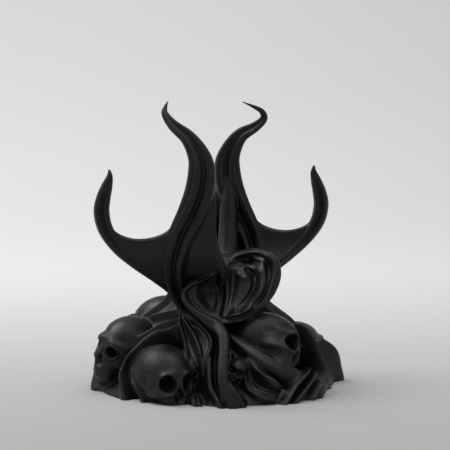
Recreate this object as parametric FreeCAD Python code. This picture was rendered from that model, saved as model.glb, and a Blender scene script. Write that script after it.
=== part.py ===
"""A one-piece printed stand that holds a game controller upright.

A heap of skulls under folded drapery carries a short column. Two petals rise from the
column, one in front on the left and one behind on the right, and the controller stands
between them on the column's saddle. Each petal is a thin web between a short tendril
and a tall one. Everything is one print, so everything is fused into one solid.

Millimetres. +Z is up, +X is to the right and the front faces -Y. The origin is on the
floor, on the upright axis. The back is like the front after half a turn about that axis,
but two of its skulls sit at other heights, its tall tendril hooks back further, and one
fold rounds off the right rear.
"""

import FreeCAD, Part
import math
import os
from collections import namedtuple

from FreeCAD import Placement, Rotation, Vector

# Heap: half width and half depth over the folds, and the height where the column begins
HEAP_HALF_WIDTH = 60.5
HEAP_HALF_DEPTH = 56.0
HEAP_HEIGHT = 43.0
FOLD_RELIEF = 4.2

# Column that grows out of the heap, and the saddle on top that the controller stands on
COLUMN_HALF_WIDTH = 17.0
COLUMN_HALF_DEPTH = 14.0
SADDLE_HEIGHT = 63.0
SADDLE_CROWN = 0.3
SADDLE_SHARE = 0.7

# Petals
WEB_THICKNESS = 3.2
PETAL_ROOT_DEPTH = 13.0
PETAL_REACH = 10.0
PETAL_RISE = 26.0
CURL_LENGTH = 44.0
CURL_BACK = 10.0
TALL_TENDRIL_HEIGHT = 136.0
TALL_TENDRIL_WIDTH = 14.0
TALL_TENDRIL_THICKNESS = 10.0
SHORT_TENDRIL_HEIGHT = 104.6
SHORT_TENDRIL_WIDTH = 7.4
SHORT_TENDRIL_THICKNESS = 6.6
TIP_WIDTH = 1.4

# Cowl in front of the column
COWL_CENTRE_ACROSS = 7.5
COWL_CENTRE_HEIGHT = 49.5
COWL_HALF_WIDTH = 21.5
COWL_HALF_HEIGHT = 15.5
COWL_LIP = 1.7
COWL_TOP_DEPTH = 15.0
COWL_FOOT_DEPTH = 30.0
COWL_HOLLOW_DEPTH = 6.5
COWL_RIM_DROP = 1.5
COWL_TUCK = 8.0
COWL_TUCK_HEIGHT = 8.5
COWL_GATHER_ACROSS = 4.0
COWL_GATHER_HEIGHT = 35.0

# Skulls, by the half width of the head
FRONT_SKULL = 14.0
SIDE_SKULL = 14.0
SHOULDER_SKULL = 14.0
SMALL_SKULL = 5.8
REAR_SIDE_SKULL_DROP = 6.0
REAR_SHOULDER_SKULL_RISE = 2.6

# Fineness of the facets
HEAP_STEPS = 40
HEAP_LEVELS = (-4, 1, 5, 9, 13, 17, 21, 25, 29, 33, 38, 43, 51, 60)
SKULL_STEPS = 16
TENDRIL_STATIONS = 12
HOOK_STATIONS = 14
COWL_STEPS = 21
RIDGE_ROOT = 1.2
FOLD_EDGE = 0.6

FRONT = Vector(0, -1, 0)
UP = Vector(0, 0, 1)
Station = namedtuple("Station", "point width thickness out")
Crest = namedtuple("Crest", "foot out half rise")

# The heap's outline: height, then shares of the half width and half depth at the floor
HEAP_OUTLINE = [
    (0.00, 1.00, 1.00),
    (0.19, 1.00, 0.95),
    (0.37, 0.96, 0.87),
    (0.56, 0.85, 0.735),
    (0.72, 0.69, 0.586),
    (0.86, 0.52, 0.437),
    (1.00, 0.38, 0.334),
]


def ease(share):
    """A smooth rise from 0 to 1."""
    share = min(max(share, 0.0), 1.0)
    return share * share * (3 - 2 * share)


def smooth(points, count):
    """A smooth run of points through the ones given; any number of values in each."""
    spans = len(points) - 1
    run = []
    for step in range(count):
        at = step * spans / (count - 1)
        first = min(int(at), spans - 1)
        t = at - first
        a = points[max(first - 1, 0)]
        b = points[first]
        c = points[first + 1]
        d = points[min(first + 2, spans)]
        run.append([
            0.5 * (2 * q + (r - p) * t + (2 * p - 5 * q + 4 * r - s) * t * t
                   + (3 * q - p - 3 * r + s) * t * t * t)
            for p, q, r, s in zip(a, b, c, d)
        ])
    return run


def solid_of(facets):
    """One closed solid from triangles given by their corners."""
    faces = [
        Part.Face(Part.makePolygon([a, b, c, a]))
        for a, b, c in facets if (b - a).cross(c - a).Length > 1e-7
    ]
    shell = Part.makeShell(faces)
    shell.sewShape()
    solid = Part.makeSolid(shell)
    if solid.Volume < 0:
        solid.reverse()
    return solid


def between(low, high):
    """The triangles between two rings of equally many points."""
    facets = []
    for k in range(len(low)):
        after = (k + 1) % len(low)
        facets += [(low[k], low[after], high[after]), (low[k], high[after], high[k])]
    return facets


def skin(rings, start=None, end=None):
    """A faceted solid through rings of points, with a pole or a flat fan at each end."""
    facets = []
    for low, high in zip(rings, rings[1:]):
        facets += between(low, high)
    first, last = rings[0], rings[-1]
    start = start or sum(first[1:], first[0]) * (1 / len(first))
    end = end or sum(last[1:], last[0]) * (1 / len(last))
    for k in range(len(first)):
        after = (k + 1) % len(first)
        facets += [(start, first[after], first[k]), (end, last[k], last[after])]
    return solid_of(facets)


def half_turn(shape):
    """The same shape on the other side of the upright axis."""
    other = shape.copy()
    other.rotate(Vector(0, 0, 0), UP, 180)
    return other


def heap_reach(height):
    """Half width and half depth of the heap over its folds, and of the column above it."""
    stops = [
        (share * HEAP_HEIGHT, wide * HEAP_HALF_WIDTH, deep * HEAP_HALF_DEPTH)
        for share, wide, deep in HEAP_OUTLINE
    ]
    rest = SADDLE_HEIGHT - HEAP_HEIGHT
    stops.append((HEAP_HEIGHT + 0.4 * rest, COLUMN_HALF_WIDTH + 2, COLUMN_HALF_DEPTH + 1.5))
    stops.append((SADDLE_HEIGHT, COLUMN_HALF_WIDTH, COLUMN_HALF_DEPTH))
    if height <= 0:
        return stops[0][1], stops[0][2]
    for low, high in zip(stops, stops[1:]):
        if height <= high[0]:
            share = (height - low[0]) / (high[0] - low[0])
            return low[1] + share * (high[1] - low[1]), low[2] + share * (high[2] - low[2])
    return stops[-1][1], stops[-1][2]


def heap_point(azimuth, height, inward=0.0):
    """A point of the heap; azimuth 0 is the front and grows to the right."""
    turn = math.radians(azimuth)
    wide, deep = heap_reach(height)
    return Vector((wide - inward) * math.sin(turn), (inward - deep) * math.cos(turn), height)


def heap_outward(azimuth, height):
    """The direction straight out of the heap's skin."""
    across = heap_point(azimuth + 2, height) - heap_point(azimuth - 2, height)
    upward = heap_point(azimuth, height + 2) - heap_point(azimuth, height - 2)
    return across.cross(upward).normalize()


# Hollows of the drapery where faces look out: azimuth, height, spread and depth
HEAP_HOLLOWS = [
    (-19, 8, 13, 9), (-64, 14, 11, 7.5), (62, 20, 11, 5), (13, 13, 7, 5), (-24, 26, 7, 5),
    (14, 42, 13, 5), (22, 11.5, 4.5, 2), (50, 20, 8, 4), (76, 12, 11, 9), (-9, 12, 6, 3.5),
    (-40, 26, 5, 3), (-45, 17, 5, 3), (-44, 8, 5, 3), (80, 27, 9, 6),
]


def heap_sink(azimuth, height):
    """How far the drapery's body lies inside the folds."""
    sink = FOLD_RELIEF * (1 - 0.4 * ease((8 - height) / 8)) * (1 - 0.6 * ease((height - 36) / 14))
    here = heap_point(azimuth, height)
    for turn, level, spread, depth in HEAP_HOLLOWS:
        for side in (0, 180):
            sink += depth * bell((here - heap_point(turn + side, level)).Length, spread)
    return sink + 2.6 * ease((height - SADDLE_HEIGHT + 6) / 5)


def heap():
    """The drapery's body under the folds, up to the saddle."""
    rings = []
    for step, height in enumerate(HEAP_LEVELS):
        azimuths = [360 * (k + 0.5 * (step % 2)) / HEAP_STEPS for k in range(HEAP_STEPS)]
        rings.append([
            heap_point(azimuth, height, heap_sink(azimuth, height)) for azimuth in azimuths
        ])
    rings.append([
        Vector(p.x * SADDLE_SHARE, p.y * SADDLE_SHARE, SADDLE_HEIGHT) for p in rings[-1]
    ])
    return skin(rings, None, Vector(0, 0, SADDLE_HEIGHT + SADDLE_CROWN))


def strand(stations, sides, swell=None):
    """A solid carried along stations; swell says how far out its skin is at each turn."""
    rings = []
    last = len(stations) - 1
    for number, here in enumerate(stations):
        ahead = stations[min(number + 1, last)].point - stations[max(number - 1, 0)].point
        ahead.normalize()
        side = ahead.cross(here.out).normalize()
        out = side.cross(ahead).normalize()
        ring = []
        for k in range(sides):
            turn = 2 * math.pi * k / sides
            reach = 1 + (swell(turn, number / last) if swell else 0.0)
            ring.append(
                here.point
                + side * (here.width / 2 * reach * math.cos(turn))
                + out * (here.thickness / 2 * reach * math.sin(turn))
            )
        rings.append(ring)
    return skin(rings)


def ridge(crests, flat=0.0):
    """A fold whose flanks run down into what it lies on; flat is its level share on top."""
    rings = []
    last = len(crests) - 1
    spread = 2.0 - flat
    for number, here in enumerate(crests):
        ahead = crests[min(number + 1, last)].foot - crests[max(number - 1, 0)].foot
        side = ahead.cross(here.out).normalize()
        top = here.foot + here.out * here.rise
        low = here.foot - here.out * RIDGE_ROOT
        base = side * (here.half * spread)
        level = side * (here.half * flat)
        crown = [top - level, top + level] if flat else [top]
        rings.append(crown + [low + base, low - here.out * (2 * RIDGE_ROOT), low - base])
    return skin(rings)


def fold(half, flat, stations, points):
    """A drapery fold; its points give azimuth, height, share of the half width and lift."""
    crests = []
    for azimuth, height, share, lift in smooth(points, stations):
        out = heap_outward(azimuth, height)
        foot = heap_point(azimuth, height) - out * heap_sink(azimuth, height)
        crests.append(Crest(foot, out, max(half * share, FOLD_EDGE), FOLD_RELIEF + lift))
    return ridge(crests, flat)


def ray_out(direction, centre, reach):
    """How far a ray from the skull's middle runs inside one ellipsoid."""
    a = sum((d / s) ** 2 for d, s in zip(direction, reach))
    b = sum(d * c / (s * s) for d, c, s in zip(direction, centre, reach))
    c = sum((m / s) ** 2 for m, s in zip(centre, reach)) - 1
    return (b + math.sqrt(max(b * b - a * c, 0.0))) / a


def bell(offset, width):
    """A soft hump, 1 in the middle and almost 0 past twice its width."""
    return math.exp(-((offset / width) ** 2))


def skull_reach(direction):
    """The skull's skin along a direction, for a head of half width 1 that faces -Y."""
    head = ray_out(direction, (0, 0.15, 0), (1.0, 1.25, 0.98))
    face = ray_out(direction, (0, -0.42, -0.55), (0.66, 0.74, 1.05))
    reach = (head ** 12 + face ** 12) ** (1 / 12)
    x, y, z = (reach * part for part in direction)
    front = ease(-y / 0.5)
    x = abs(x)
    eye = math.exp(-(((x - 0.34) / 0.27) ** 2 + ((z + 0.28) / 0.28) ** 2) ** 2)
    nose = math.exp(-((x / 0.17) ** 2 + ((z + 0.74) / 0.20) ** 2) ** 2)
    relief = 0.08 * bell(z - 0.02, 0.10) * bell(x - 0.38, 0.35)
    relief += 0.15 * bell(x - 0.70, 0.20) * bell(z + 0.60, 0.14)
    relief -= 0.14 * bell(x - 0.66, 0.20) * bell(z + 1.06, 0.22)
    relief -= 0.07 * bell(x - 0.90, 0.16) * bell(z + 0.20, 0.22)
    relief -= 0.07 * bell(z + 1.20, 0.05) * bell(x, 0.45)
    return reach + front * (relief - 0.46 * eye - 0.26 * nose)


# Rings of a skull, in degrees down from its crown: closest over the eyes and nose
SKULL_FALLS = (30, 58, 78, 91, 99, 106, 114, 123, 134, 150)


def skull(half_width, centre, yaw, pitch, roll, steps=SKULL_STEPS, falls=SKULL_FALLS):
    """A skull that looks yaw degrees right of the front and pitch degrees down."""
    rings = []
    for fall in falls:
        polar = math.radians(fall)
        ring = []
        for k in range(steps):
            even = 2 * math.pi * k / steps - math.pi
            turn = even - 0.58 * math.sin(even) - math.pi / 2
            way = Vector(
                math.sin(polar) * math.cos(turn), math.sin(polar) * math.sin(turn), math.cos(polar)
            )
            ring.append(way * (half_width * skull_reach(way)))
        rings.append(ring)
    top = UP * (half_width * skull_reach(UP))
    foot = UP * (-half_width * skull_reach(-UP))
    head = skin(rings, top, foot)
    turn = Rotation(UP, yaw) * Rotation(Vector(1, 0, 0), pitch) * Rotation(Vector(0, 1, 0), roll)
    head.Placement = Placement(Vector(*centre), turn)
    return head


def petal_depth(height):
    """How far in front of the axis the petal's middle stands at a height."""
    rise = ease((height - HEAP_HEIGHT) / PETAL_RISE)
    curl = max(height - TALL_TENDRIL_HEIGHT + CURL_LENGTH, 0.0) / CURL_LENGTH
    return PETAL_ROOT_DEPTH + PETAL_REACH * rise - CURL_BACK * curl * curl


# The tall tendril: across, share of its height, shares of the width and thickness
TALL_RUN = [
    (-12.5, 0.290, 0.70, 0.90),
    (-16.4, 0.345, 0.72, 1.00),
    (-18.2, 0.400, 0.76, 1.00),
    (-18.2, 0.460, 0.84, 1.00),
    (-15.6, 0.535, 0.92, 1.00),
    (-10.2, 0.620, 1.00, 0.96),
    (-6.8, 0.695, 1.00, 0.90),
    (-5.9, 0.770, 0.90, 0.80),
    (-7.8, 0.824, 0.72, 0.68),
    (-12.4, 0.876, 0.52, 0.54),
]
FRONT_TIP = [
    (-19.2, 0.918, 0.34, 0.40),
    (-23.1, 0.957, 0.20, 0.25),
    (-22.6, 0.982, 0.10, 0.12),
    (-21.6, 1.000, 0.03, 0.04),
]
# The one behind hooks back further at its tip
REAR_TIP = [
    (-19.4, 0.907, 0.36, 0.42),
    (-23.6, 0.936, 0.27, 0.32),
    (-22.8, 0.962, 0.20, 0.24),
    (-19.0, 0.979, 0.13, 0.16),
    (-13.3, 0.997, 0.03, 0.04),
]

# The short tendril: across, share of its height, shares of the width and thickness
SHORT_RUN = [
    (-13.0, 0.395, 0.60, 0.70),
    (-19.5, 0.448, 0.56, 0.66),
    (-28.0, 0.514, 0.60, 0.70),
    (-37.0, 0.582, 0.68, 0.78),
    (-45.0, 0.656, 0.82, 0.88),
    (-50.4, 0.735, 0.96, 0.98),
    (-52.2, 0.810, 1.00, 1.00),
    (-51.4, 0.870, 0.92, 0.94),
    (-49.7, 0.925, 0.72, 0.74),
    (-48.4, 0.968, 0.42, 0.45),
    (-48.6, 1.000, 0.12, 0.14),
]

# The web between them: across and height along its lower edge, then along its upper one
WEB_RUN = [
    (0.8, 40.0, 0.6, 93.0),
    (-8.0, 40.0, -8.0, 92.0),
    (-14.0, 42.5, -12.5, 88.0),
    (-20.0, 47.0, -17.5, 81.5),
    (-26.0, 51.5, -22.0, 76.3),
    (-33.0, 57.0, -28.5, 73.4),
    (-40.0, 62.5, -36.5, 72.6),
    (-46.0, 68.5, -44.0, 74.8),
    (-51.0, 75.0, -49.5, 79.5),
]


def tendril_ridges(turn, share):
    """Two ridges with a groove between them, wandering across the tendril as it climbs."""
    across = math.cos(turn)
    left = -0.68 + 0.46 * ease(share / 0.8)
    right = 0.30 + 0.50 * ease(share / 0.7)
    face = abs(math.sin(turn)) * (1 - ease((share - 0.72) / 0.2))
    return face * (0.22 * bell(across - left, 0.18) + 0.18 * bell(across - right, 0.26)
                   - 0.34 * bell(across - (left + right) / 2, 0.22))


def tall_tendril(tip, stations):
    run = []
    for across, share, wide, thick in smooth(TALL_RUN + tip, stations):
        height = share * TALL_TENDRIL_HEIGHT
        point = Vector(across, -petal_depth(height), height)
        run.append(Station(
            point, max(wide * TALL_TENDRIL_WIDTH, TIP_WIDTH),
            max(thick * TALL_TENDRIL_THICKNESS, TIP_WIDTH), FRONT,
        ))
    return strand(run, 14, tendril_ridges)


# The thick root of the petal behind the tall tendril: across, depth, height, width, thickness
FLANK_RUN = [
    (-4.5, 7.0, 44, 12, 10), (-5.0, 10.0, 56, 11, 10), (-6.0, 14.0, 66, 9.6, 9),
    (-6.4, 17.4, 76, 9.2, 8.6), (-6.4, 18.8, 86, 9.0, 8), (-6.4, 19.6, 98, 7.0, 6),
]


def tendril_flank():
    run = []
    for across, depth, height, wide, thick in smooth(FLANK_RUN, 5):
        run.append(Station(Vector(across, -depth, height), wide, thick, FRONT))
    return strand(run, 8)


def short_tendril():
    run = []
    for across, share, wide, thick in smooth(SHORT_RUN, TENDRIL_STATIONS):
        height = share * SHORT_TENDRIL_HEIGHT
        point = Vector(across, -petal_depth(height), height)
        run.append(Station(
            point, max(wide * SHORT_TENDRIL_WIDTH, TIP_WIDTH),
            max(thick * SHORT_TENDRIL_THICKNESS, TIP_WIDTH), FRONT,
        ))
    return strand(run, 8)


def web():
    """The petal's thin web, thickest in the middle and rounded along its upper edge."""
    rings = []
    half = WEB_THICKNESS / 2
    for low_across, low, high_across, high in smooth(WEB_RUN, 9):
        ring = []
        back = []
        for share, swell in ((0.0, 0.8), (0.5, 1.0), (1.0, 0.5)):
            height = low + share * (high - low)
            across = low_across + share * (high_across - low_across)
            depth = petal_depth(height)
            ring.append(Vector(across, -depth - half * swell, height))
            back.append(Vector(across, -depth + half * swell, height))
        rings.append(ring + back[::-1])
    return skin(rings)


# The cowl's rim, as shares of its half width and half height from its centre
COWL_RIM = [
    (-0.22, 0.48), (-0.69, 0.17), (-1.00, -0.12), (-0.86, -0.55), (-0.55, -0.86),
    (-0.15, -0.99), (0.25, -0.88), (0.60, -0.61), (0.84, -0.10), (0.98, 0.50), (0.90, 0.88),
    (0.50, 1.00), (0.10, 0.86),
]


def cowl_depth(across, height):
    """Depth of the cowl's rim: it leans out going down and sinks into the column on top."""
    top = COWL_CENTRE_HEIGHT + COWL_HALF_HEIGHT
    share = min(max((top - height) / (2 * COWL_HALF_HEIGHT), 0), 1)
    lean = COWL_TOP_DEPTH + (COWL_FOOT_DEPTH - COWL_TOP_DEPTH) * share
    rightward = (across - COWL_CENTRE_ACROSS) / COWL_HALF_WIDTH
    tuck = COWL_TUCK * ease((height - top + COWL_TUCK_HEIGHT) / (0.6 * COWL_TUCK_HEIGHT))
    return lean - tuck * (1 - ease((rightward - 0.53) / 0.28))


def cowl_floor(across, height, share):
    """Depth of the hollow's floor; share is 0 in the middle of it and 1 at its rim."""
    bowl = (COWL_HOLLOW_DEPTH - COWL_RIM_DROP) * (1 - share ** 2.5)
    return cowl_depth(across, height) - COWL_RIM_DROP - bowl


def cowl_rim():
    """The rim, as shares of the cowl's half width and half height from its centre."""
    return smooth(COWL_RIM + COWL_RIM[:1], COWL_STEPS)[:-1]


def cowl_ring(spread, forward):
    """The cowl's rim made wider or narrower, and moved forward."""
    ring = []
    for across, up in cowl_rim():
        height = COWL_CENTRE_HEIGHT + (COWL_HALF_HEIGHT + spread) * up
        x = COWL_CENTRE_ACROSS + (COWL_HALF_WIDTH + spread) * across
        ring.append(Vector(x, -cowl_depth(x, height) - forward, height))
    return ring


def floor_ring(share):
    """A ring across the floor of the hollow, a share of the way out to its rim."""
    ring = []
    for across, up in cowl_rim():
        height = COWL_CENTRE_HEIGHT + share * (COWL_HALF_HEIGHT - COWL_LIP) * up
        x = COWL_CENTRE_ACROSS + share * (COWL_HALF_WIDTH - COWL_LIP) * across
        ring.append(Vector(x, -cowl_floor(x, height, share), height))
    return ring


def cowl():
    """The cowl, from its buried foot over the rim and down to the floor of its hollow."""
    return skin([
        cowl_ring(-9.0, -13.0), cowl_ring(0.5, -5.5), cowl_ring(0.9, -1.8),
        cowl_ring(-0.1, 0.4), floor_ring(0.98), floor_ring(0.8), floor_ring(0.5),
        floor_ring(0.15),
    ])


# Folds in the hollow: half width, height of the crest, then points across and up
COWL_FOLDS = [
    (1.2, 2.6, [(1.1, 38.8), (2.4, 44.0), (3.7, 49.1), (3.4, 57.0)]),
    (1.4, 3.0, [(5.2, 38.0), (5.6, 44.5), (6.4, 51.3), (6.0, 56.0)]),
    (2.8, 3.2, [(6.2, 38.4), (9.5, 42.8), (12.4, 48.5), (13.0, 55.0)]),
    (2.2, 4.6, [(18.8, 61.0), (21.9, 54.5), (20.6, 47.3), (16.4, 42.2), (5.7, 35.7)]),
    (1.8, 2.6, [(-4.1, 54.0), (-7.8, 48.0), (-7.0, 42.5), (0.6, 36.2)]),
]


def cowl_folds():
    """The hollow's folds, gathered at its foot."""
    made = []
    for half, rise, points in COWL_FOLDS:
        crests = []
        for across, height in smooth(points, 5):
            middle = math.hypot((across - COWL_CENTRE_ACROSS) / (COWL_HALF_WIDTH - COWL_LIP),
                                (height - COWL_CENTRE_HEIGHT) / (COWL_HALF_HEIGHT - COWL_LIP))
            floor = cowl_floor(across, height, min(middle, 1.0))
            away = math.hypot(across - COWL_GATHER_ACROSS, height - COWL_GATHER_HEIGHT)
            gather = 0.4 + 0.6 * ease((away + 3) / 12)
            crests.append(Crest(Vector(across, -floor, height), FRONT, half * gather, rise * gather))
        made.append(ridge(crests))
    return made


# The cowl's left rim swells into the band that falls down the front of the heap:
# across, depth, height, width and thickness
FRONT_BAND = [
    (-13.0, 22.4, 49.7, 1.6, 3.0), (-14.4, 24.3, 46.5, 1.8, 4.0), (-12.8, 26.4, 43.0, 2.2, 4.5),
    (-9.0, 28.6, 39.4, 3.0, 5.0), (-3.5, 31.0, 35.9, 4.6, 6.0), (1.2, 33.4, 33.2, 5.4, 7.0),
    (4.0, 37.6, 29.5, 5.4, 8.0), (4.4, 42.6, 24.0, 5.4, 8.0), (3.9, 47.2, 18.0, 5.4, 8.0),
    (4.0, 51.0, 12.0, 5.6, 8.0), (5.8, 53.2, 6.6, 6.8, 7.0), (9.0, 54.8, 2.0, 8.6, 6.0),
    (12.4, 55.8, -3.0, 10.0, 5.0),
]


def boxy(turn, share):
    """Swells an oval ring towards a box, for a band with a level face."""
    return 0.22 * abs(math.sin(2 * turn))


def front_band():
    run = [
        Station(Vector(across, -depth, height), wide, thick, FRONT)
        for across, depth, height, wide, thick in smooth(FRONT_BAND, 12)
    ]
    return strand(run, 8, boxy)


# Rings of a small skull
PLAIN_FALLS = (34, 64, 86, 100, 111, 124, 148)
PLAIN_STEPS = 10


def skulls():
    """The skulls of the front half, each with what its copy behind is moved by."""
    return [
        (skull(FRONT_SKULL, (-23.1, -34.4, 11.4), 27, -8, 0), Vector(0, 0, 0)),
        (skull(SIDE_SKULL, (-39.6, -11.4, 21.4), -45, -13, 16),
         Vector(-1.3, -1, -REAR_SIDE_SKULL_DROP)),
        (skull(SHOULDER_SKULL, (24.5, -20, 24), 69, -3, 44),
         Vector(-1, 0, REAR_SHOULDER_SKULL_RISE)),
        (skull(SMALL_SKULL, (10.6, -43, 15.0), 4, -4, 10, PLAIN_STEPS, PLAIN_FALLS),
         Vector(0, 0, 0)),
        (skull(SMALL_SKULL, (-11.4, -36.2, 18.0), 24, 0, -16, PLAIN_STEPS, PLAIN_FALLS),
         Vector(0, 0, 0)),
    ]


def folds():
    """The drapery's folds on the front half, each from its upper end to its lower."""
    return [
        fold(2.3, 0.0, 5, [
            (-33.6, 38, 0.7, -0.6), (-21.3, 31.5, 1, 0), (-15.3, 26.6, 1, 0.2),
            (-12.2, 22.3, 0.8, -0.4), (-10.8, 19.5, 0.5, -2),
        ]),
        fold(2.3, 0.0, 5, [
            (-29, 37.2, 0.6, -0.6), (-16.4, 32.2, 1, 0.4), (-10.1, 27.5, 1.1, 0.5),
            (-7, 22.7, 1, 0.3), (-6.2, 17, 0.6, -1.5),
        ]),
        fold(2.3, 0.0, 7, [
            (-18.3, 35.9, 0.8, -0.4), (-9.1, 33.7, 1, 0.2), (-3.5, 30.4, 1, 0.2),
            (-1.6, 27.1, 1, 0), (-2.3, 23.8, 1, 0), (-4.7, 20.4, 0.8, -0.2), (-6, 16.5, 0.6, -1.5),
        ]),
        fold(2.0, 0.0, 6, [
            (-2.2, 24, 0.8, -0.3), (-2.1, 17.6, 1, 0.2), (-1.9, 13.4, 1, 0.3), (-1.2, 8.7, 1, 0.3),
            (1.5, 4.9, 1.1, 0.3), (5, -3, 1.3, 0.2),
        ]),
        fold(3.4, 0.5, 4, [
            (-13, 13, 0.6, -2), (-11, 8, 1, 0), (-8.5, 3, 1.1, 1), (-6.5, -3, 1.2, 1.8),
        ]),
        fold(3.4, 0.7, 6, [
            (10, 31, 0.4, -2.2), (13, 27.5, 0.5, -1), (19, 23.2, 0.75, -0.6),
            (26.5, 18.3, 1, -0.6), (34, 14, 1.25, -0.8), (43, 11, 1.3, -1.2),
        ]),
        fold(2.2, 0.5, 6, [
            (16.6, 22, 0.4, -1.6), (20.6, 17.3, 0.6, 0.1), (23.6, 13.5, 0.95, 0.4),
            (26.5, 10.4, 1.15, 0.5), (28.6, 8.1, 0.9, -0.4), (30, 6.6, 0.5, -3),
        ]),
        fold(1.5, 0.0, 4, [
            (15.4, 15.5, 0.6, -2.2), (15.2, 10.6, 1, -1), (17, 7.1, 1, -0.8),
            (21.4, 3.8, 1, -0.8), (27, 2.6, 0.8, -1.4),
        ]),
        fold(1.7, 0.0, 5, [
            (54, 15.5, 0.5, -1), (51, 13.6, 0.9, 0), (45.8, 11.3, 1, 0.4), (39.3, 7.8, 1, 0.6),
            (33.4, 2.3, 1.1, 0.6), (29.5, -3, 1.2, 0.6),
        ]),
        fold(1.9, 0.0, 5, [
            (55.5, 15, 0.6, -0.6), (54, 12, 0.9, 0), (49.9, 9.6, 1, 0.4), (42.8, 5.2, 1.1, 0.6),
            (35.5, -0.5, 1.1, 0.6), (33, -3, 1.2, 0.6),
        ]),
        fold(1.6, 0.0, 4, [
            (57.5, 8.5, 0.6, -1.6), (54.2, 5.6, 1, -0.2), (49.2, 1.6, 1, 0), (45, -3, 1.1, 0),
        ]),
        fold(2.2, 0.0, 8, [
            (66, 31.5, 0.8, 0.6), (63.4, 28.4, 1, 1.4), (61.5, 24.3, 1, 2), (62.3, 19.6, 1, 2.2),
            (61.6, 15, 1, 2.6), (61.7, 11, 1, 2.6), (58.5, 6.2, 1, 2.4), (55.1, 2.2, 1, 2),
            (50, -3, 1, 1.4),
        ]),
        fold(2.5, 0.0, 9, [
            (-28, 34.3, 0.6, -0.6), (-35, 32.6, 0.8, 0), (-41, 31, 0.9, 0.4), (-44.2, 27.6, 1, 0.8),
            (-45.8, 24, 1, 1.2), (-48.1, 19.8, 1, 1.4), (-48.8, 15.7, 1, 1.4), (-48.5, 11.1, 1, 1.4),
            (-47, 7.5, 1, 1.2), (-44, -3, 1, 1),
        ]),
        fold(1.6, 0.0, 7, [
            (-30.9, 25.3, 0.7, -2.5), (-36.2, 24, 0.9, -1.2), (-39.4, 21.6, 1, -0.2),
            (-41.4, 17.8, 1, 0.4), (-41.8, 14.2, 1, 0.6), (-40.9, 10.4, 1, 0.6),
            (-38.2, 7.3, 1, 0.4), (-35.4, 3.2, 1, 0.2), (-33, -3, 1, 0),
        ]),
        fold(1.8, 0.0, 5, [
            (-31.9, 36.6, 0.6, -1), (-43, 33.6, 1, -0.4), (-48.3, 28.8, 1, -0.2),
            (-52.8, 24.5, 0.8, -1), (-55, 20, 0.5, -2.5),
        ]),
        fold(1.9, 0.0, 4, [
            (-35.3, 39.5, 0.7, -0.4), (-50.1, 37.6, 1, 0), (-61.2, 35.8, 1, 0),
            (-71, 34.4, 0.5, -2),
        ]),
        fold(3.0, 0.4, 3, [(78, 40, 0.5, -1), (84, 34, 0.8, -0.4), (84, 27, 0.6, -1.5)]),
        fold(4.6, 0.8, 4, [
            (-76, 20, 0.6, -1), (-77, 13, 1, 0.2), (-76, 6, 1, -0.4), (-74, -3, 1, -1.6),
        ]),
        fold(1.4, 0.0, 4, [
            (58, 60, 1, -1.2), (62, 52, 1.2, -0.8), (66, 42, 1.2, -0.6), (67, 34, 1, -0.6),
        ]),
        fold(1.4, 0.0, 4, [
            (104, 60, 1, -1.2), (100, 50, 1.2, -0.8), (96, 40, 1.2, -0.4), (88, 30, 1, -1),
        ]),
    ]


def corner_fold():
    """The one fold with no counterpart on the other side: it rounds off the right rear."""
    return fold(6.0, 0.8, 4, [
        (97, 22, 0.5, 0), (100, 16, 0.9, 2.8), (102, 9, 1, 3.2), (103, -3, 1, 2.2),
    ])


def front_half():
    shapes = folds() + [front_band(), cowl()] + cowl_folds()
    shapes += [tendril_flank(), short_tendril(), web()]
    return shapes


def stand():
    """Everything fused, with the front half's copies behind, and cut flat on the floor."""
    shapes = front_half()
    shapes += [half_turn(shape) for shape in shapes] + [corner_fold()]
    shapes.append(tall_tendril(FRONT_TIP, TENDRIL_STATIONS))
    shapes.append(half_turn(tall_tendril(REAR_TIP, HOOK_STATIONS)))
    for head, move in skulls():
        behind = half_turn(head)
        behind.translate(move)
        shapes += [head, behind]
    whole = heap().multiFuse(shapes)
    reach = 4 * HEAP_HALF_WIDTH
    floor = Part.makeBox(reach, reach, reach, Vector(-reach / 2, -reach / 2, -reach))
    whole = whole.cut(floor).removeSplitter()
    if len(whole.Solids) == 1:
        return whole.Solids[0]
    return whole


os.makedirs("parts", exist_ok=True)
piece = stand()
piece.exportStep("parts/stand.step")
print("faces", len(piece.Faces), "solids", len(piece.Solids), "valid", piece.isValid(),
      "volume", round(piece.Volume))
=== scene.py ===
# %% [markdown]
# # A printed stand of skulls and claws
#
# The real object is one black plastic print. Skulls lie in a heap under folded drapery,
# a short column grows out of the heap, and two clawed petals rise from it, one in front
# and one behind, with a narrow gap between them. The solid model gives the size and the
# place, and this script makes the same object finely enough to be looked at closely.
#
# The frame is loaded first.

# %% Load the frame
import math

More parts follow.
